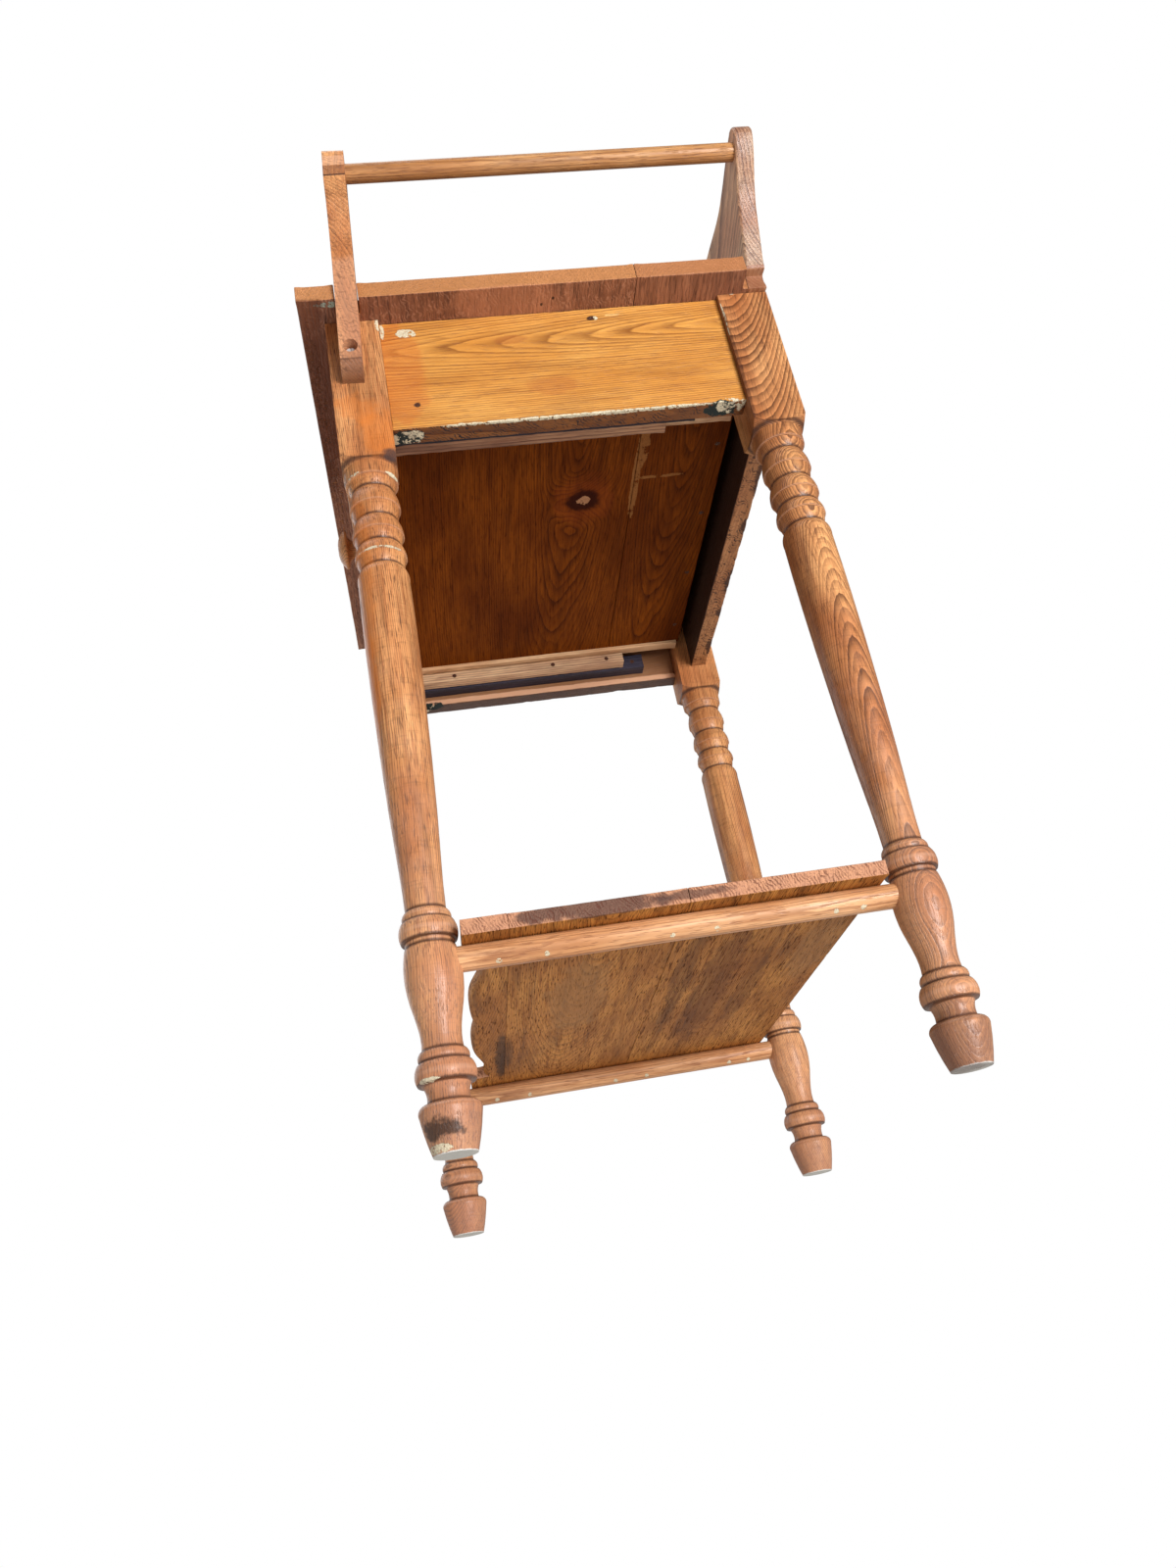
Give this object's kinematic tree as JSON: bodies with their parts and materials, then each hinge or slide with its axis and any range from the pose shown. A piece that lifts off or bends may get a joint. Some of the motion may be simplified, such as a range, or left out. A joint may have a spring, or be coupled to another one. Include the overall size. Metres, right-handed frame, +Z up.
{
  "type": "washstand",
  "caption": "Antique stained-wood washstand with turned legs, a drawer, a scalloped lower shelf, a flared splashback and towel rails at its sides.",
  "frame": {"origin": "on the floor, under the middle of the stand's overall width and depth", "axes": "+Z up, -Y towards the person who opens the drawer, +X to that person's right"},
  "size_m": [0.6354, 0.412, 0.832],
  "materials": {
    "back_wood": "stained and worn",
    "apron_wood": "stained and worn",
    "nail_iron": "rusted",
    "screw_steel": "brushed",
    "inner_wood": "stained and worn",
    "panel_wood": "stained and worn",
    "front_wood": "stained and worn",
    "guide_wood": "stained and worn",
    "knob_wood": "stained and worn",
    "runner_wood": "stained and worn",
    "leg_wood": "stained and worn",
    "shelf_wood": "stained and worn",
    "splash_wood": "stained and worn",
    "rod_wood": "stained and worn",
    "top_wood": "stained and worn",
    "bracket_wood": "stained and worn"
  },
  "bodies": {
    "carcass": {"apron_back": "back_wood", "apron_left": "apron_wood", "apron_nails": "nail_iron", "apron_right": "apron_wood", "bracket_screws": "screw_steel", "drawer_guide_left": "guide_wood", "drawer_guide_right": "guide_wood", "drawer_kicker_left": "inner_wood", "drawer_kicker_right": "inner_wood", "drawer_runner_left": "runner_wood", "drawer_runner_right": "runner_wood", "front_rail_lower": "front_wood", "front_rail_upper": "front_wood", "leg_back_left": "leg_wood", "leg_back_right": "leg_wood", "leg_front_left": "leg_wood", "leg_front_right": "leg_wood", "runner_nails": "nail_iron", "shelf_back_board": "shelf_wood", "shelf_front_board": "shelf_wood", "shelf_lip": "shelf_wood", "shelf_nails": "nail_iron", "splashback": "splash_wood", "splashback_screws": "screw_steel", "stretcher_left": "rod_wood", "stretcher_right": "rod_wood", "top_back_board": "top_wood", "top_front_board": "top_wood", "top_screws": "screw_steel", "towel_bar_left": "rod_wood", "towel_bar_right": "rod_wood", "towel_bracket_left": "bracket_wood", "towel_bracket_right": "bracket_wood"},
    "drawer": {"drawer_back": "inner_wood", "drawer_bottom_back": "panel_wood", "drawer_bottom_front": "panel_wood", "drawer_front": "front_wood", "drawer_knob": "knob_wood", "drawer_nails": "nail_iron", "drawer_side_left": "inner_wood", "drawer_side_right": "inner_wood"}
  },
  "joints": [
    {"name": "drawer_slide", "type": "slide", "parent": "carcass", "child": "drawer", "axis": [0, -1, 0], "range_m": [0, 0.25]}
  ]
}
